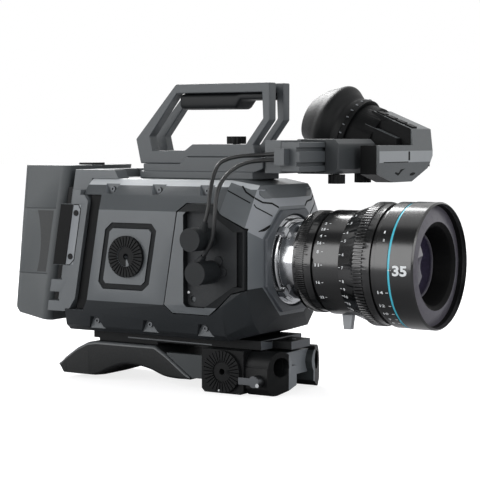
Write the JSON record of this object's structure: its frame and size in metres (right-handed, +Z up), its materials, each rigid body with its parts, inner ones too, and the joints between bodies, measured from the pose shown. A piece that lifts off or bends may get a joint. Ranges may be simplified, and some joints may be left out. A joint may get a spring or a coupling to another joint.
{
  "type": "digital cinema camera",
  "caption": "Cinema camera with angular body, prime lens with geared rings, top handle, side viewfinder, rear battery and shoulder base with rod bores.",
  "frame": {"origin": "centre of the tripod hole's mouth, on the plane that the camera rests on", "axes": "+X forward along the lens, +Y to the camera's left, +Z up"},
  "size_m": [0.4049, 0.267, 0.2637],
  "materials": {
    "body_paint": "fine grained matt dark grey",
    "frame_paint": "fine grained matt grey",
    "nose_paint": "matt dark grey",
    "black_anodised": "black anodised, satin",
    "black_plastic": "matt black",
    "evf_paint": "matt grey",
    "steel": "brushed",
    "chrome": "polished",
    "lens_black": "black anodised, satin",
    "lens_glass": "coated, seen dark",
    "foot_grey": "satin grey",
    "battery_shell": "matt dark grey",
    "grip_rubber": "matt",
    "eyecup_rubber": "matt",
    "pad_rubber": "matt foam rubber",
    "cord_jacket": "satin",
    "record_red": "satin",
    "board_green": "solder mask",
    "sensor_metal": "machined"
  },
  "bodies": {
    "camera": {"base_block": "black_anodised", "base_plate": "black_anodised", "battery_plate": "black_anodised", "camera_mount": "chrome", "connector_bezel": "frame_paint", "connector_panel": "black_plastic", "cord_gland": "black_plastic", "cord_lower": "cord_jacket", "cord_upper": "cord_jacket", "cover_screws": "steel", "evf_arm": "black_anodised", "evf_rail": "black_anodised", "front_element": "lens_glass", "handle_base": "black_anodised", "handle_frame_left": "black_anodised", "handle_frame_right": "black_anodised", "handle_grip": "grip_rubber", "left_side_cover": "body_paint", "lens_barrel": "lens_black", "lens_foot": "foot_grey", "lens_mount_barrel": "chrome", "main_board": "board_green", "main_housing": "body_paint", "monitor_hinge": "black_anodised", "mount_plate": "nose_paint", "plug_lower": "black_plastic", "plug_upper": "black_plastic", "port_strip": "frame_paint", "rear_channel": "black_plastic", "rear_frame": "frame_paint", "right_side_cover": "body_paint", "rod_clamp": "black_anodised", "rosettes": "black_anodised", "sensor_block": "sensor_metal", "shoulder_pad": "pad_rubber", "square_bezel": "black_anodised", "top_cover": "body_paint"},
    "mount_ring": {"mount_ring": "steel"},
    "fan": {"cooling_fan": "black_plastic"},
    "record_button": {"record_button": "record_red"},
    "battery": {"battery_pack": "battery_shell"},
    "battery_latch": {"battery_latch": "black_plastic"},
    "monitor": {"monitor_door": "black_plastic", "monitor_screen": "lens_glass"},
    "handle_knob": {"handle_knob": "black_anodised"},
    "evf_slide": {"evf_clamp": "black_anodised"},
    "slide_thumbscrew": {"slide_thumbscrew": "black_anodised"},
    "tilt_thumbscrew": {"tilt_thumbscrew": "black_anodised"},
    "evf_head": {"evf_body": "black_plastic", "evf_front": "evf_paint", "evf_eyecup": "eyecup_rubber", "evf_eyepiece": "lens_glass"},
    "diopter": {"evf_diopter_ring": "black_plastic"},
    "evf_key_1": {"evf_button_1": "black_plastic"},
    "evf_key_2": {"evf_button_2": "black_plastic"},
    "evf_key_3": {"evf_button_3": "black_plastic"},
    "evf_key_4": {"evf_button_4": "black_plastic"},
    "iris": {"iris_ring": "lens_black"},
    "focus": {"focus_ring": "lens_black"},
    "rod_lever": {"rod_lock_lever": "steel"}
  },
  "joints": [
    {"name": "mount_ring_turn", "type": "hinge", "parent": "camera", "child": "mount_ring", "pos_m": [0.037, 0, 0.112], "axis": [1, 0, 0], "range_deg": [0, 60]},
    {"name": "fan_spin", "type": "hinge", "parent": "camera", "child": "fan", "pos_m": [-0.05, 0, 0.112], "axis": [1, 0, 0], "continuous": true},
    {"name": "record_press", "type": "slide", "parent": "camera", "child": "record_button", "axis": [0, -1, 0], "range_m": [0, 0.0012], "stiffness_N_per_m": 800, "springref_m": -0.001},
    {"name": "battery_slide", "type": "slide", "parent": "camera", "child": "battery", "axis": [0.1734, 0, 0.9848], "range_m": [0, 0.04]},
    {"name": "battery_latch_press", "type": "slide", "parent": "battery", "child": "battery_latch", "axis": [0, 0, -1], "range_m": [0, 0.002], "stiffness_N_per_m": 800, "springref_m": -0.001},
    {"name": "monitor_open", "type": "hinge", "parent": "camera", "child": "monitor", "pos_m": [0.009, 0.066, 0.114], "axis": [0, 0, -1], "range_deg": [0, 90]},
    {"name": "handle_knob_turn", "type": "hinge", "parent": "camera", "child": "handle_knob", "pos_m": [-0.02, 0, 0.212], "axis": [0, 0, 1], "range_deg": [0, 360]},
    {"name": "evf_slide", "type": "slide", "parent": "camera", "child": "evf_slide", "axis": [0, 1, 0], "range_m": [-0.0085, 0.02]},
    {"name": "slide_thumbscrew_turn", "type": "hinge", "parent": "evf_slide", "child": "slide_thumbscrew", "pos_m": [0.058, 0.038, 0.18], "axis": [0, 0, -1], "range_deg": [0, 360]},
    {"name": "tilt_thumbscrew_turn", "type": "hinge", "parent": "evf_slide", "child": "tilt_thumbscrew", "pos_m": [0.058, 0.086, 0.18], "axis": [0, 0, -1], "range_deg": [0, 360]},
    {"name": "evf_tilt", "type": "hinge", "parent": "evf_slide", "child": "evf_head", "pos_m": [0.044, 0.1, 0.1995], "axis": [0, 1, 0], "range_deg": [-45, 18]},
    {"name": "diopter_turn", "type": "hinge", "parent": "evf_head", "child": "diopter", "pos_m": [0.0274, 0.14, 0.2172], "axis": [-0.9397, 0, 0.342], "range_deg": [-60, 60]},
    {"name": "evf_key_1_press", "type": "slide", "parent": "evf_head", "child": "evf_key_1", "axis": [-0.377, 0, -0.9262], "range_m": [0, 0.0008], "stiffness_N_per_m": 600, "springref_m": -0.001},
    {"name": "evf_key_2_press", "type": "slide", "parent": "evf_head", "child": "evf_key_2", "axis": [-0.377, 0, -0.9262], "range_m": [0, 0.0008], "stiffness_N_per_m": 600, "springref_m": -0.001},
    {"name": "evf_key_3_press", "type": "slide", "parent": "evf_head", "child": "evf_key_3", "axis": [-0.377, 0, -0.9262], "range_m": [0, 0.0008], "stiffness_N_per_m": 600, "springref_m": -0.001},
    {"name": "evf_key_4_press", "type": "slide", "parent": "evf_head", "child": "evf_key_4", "axis": [-0.377, 0, -0.9262], "range_m": [0, 0.0008], "stiffness_N_per_m": 600, "springref_m": -0.001},
    {"name": "iris_turn", "type": "hinge", "parent": "camera", "child": "iris", "pos_m": [0.0687, 0, 0.112], "axis": [1, 0, 0], "range_deg": [0, 90]},
    {"name": "focus_turn", "type": "hinge", "parent": "camera", "child": "focus", "pos_m": [0.12, 0, 0.112], "axis": [1, 0, 0], "range_deg": [0, 300]},
    {"name": "rod_lever_turn", "type": "hinge", "parent": "camera", "child": "rod_lever", "pos_m": [0.03, -0.05, 0.013], "axis": [0, 1, 0], "range_deg": [0, 90]}
  ]
}
